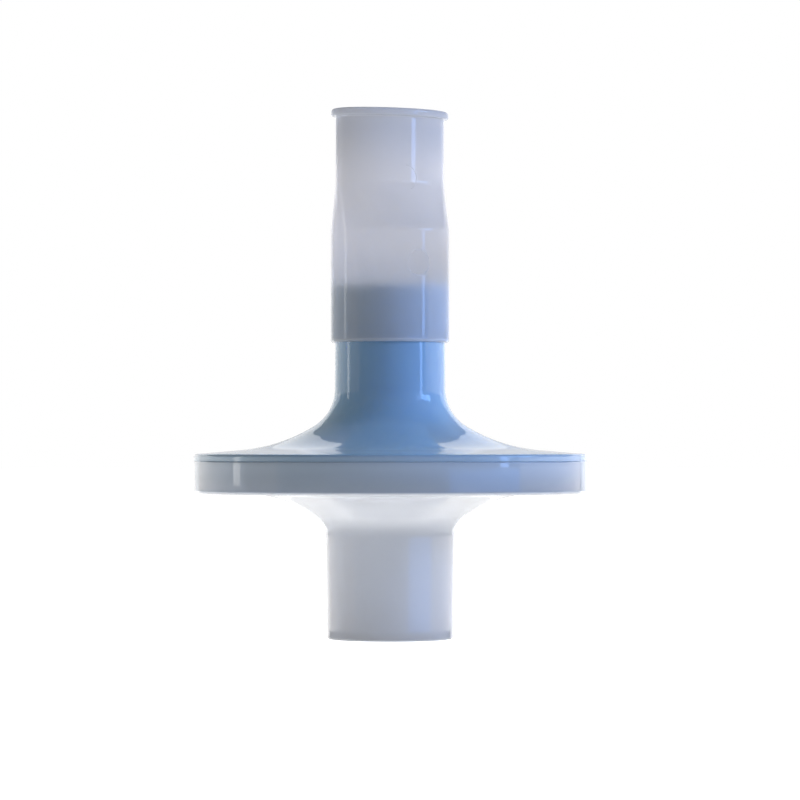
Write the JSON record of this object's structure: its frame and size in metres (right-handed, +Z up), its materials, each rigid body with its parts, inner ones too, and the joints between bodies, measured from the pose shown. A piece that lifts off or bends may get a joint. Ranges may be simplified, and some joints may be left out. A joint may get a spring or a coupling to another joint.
{
  "type": "spirometry filter",
  "caption": "Flat round two-shell breathing filter with a push-on oval mouthpiece above and a round machine port below.",
  "frame": {"origin": "centre of the machine port's open end, on which the part stands", "axes": "+Z up the air path towards the mouthpiece; the front, with the mouthpiece's insert marks, faces -Y"},
  "size_m": [0.1028, 0.1028, 0.1381],
  "materials": {
    "white_plastic": "glossy, slightly translucent",
    "blue_plastic": "glossy",
    "filter_media": "non-woven felt",
    "milky_plastic": "satin, milky translucent"
  },
  "bodies": {
    "filter": {"machine_shell": "white_plastic", "patient_shell": "blue_plastic", "filter_pad": "filter_media"},
    "mouthpiece": {"mouthpiece": "milky_plastic"}
  },
  "joints": [
    {"name": "mouthpiece_pull", "type": "slide", "parent": "filter", "child": "mouthpiece", "axis": [0, 0, 1], "range_m": [0, 0.025]}
  ]
}
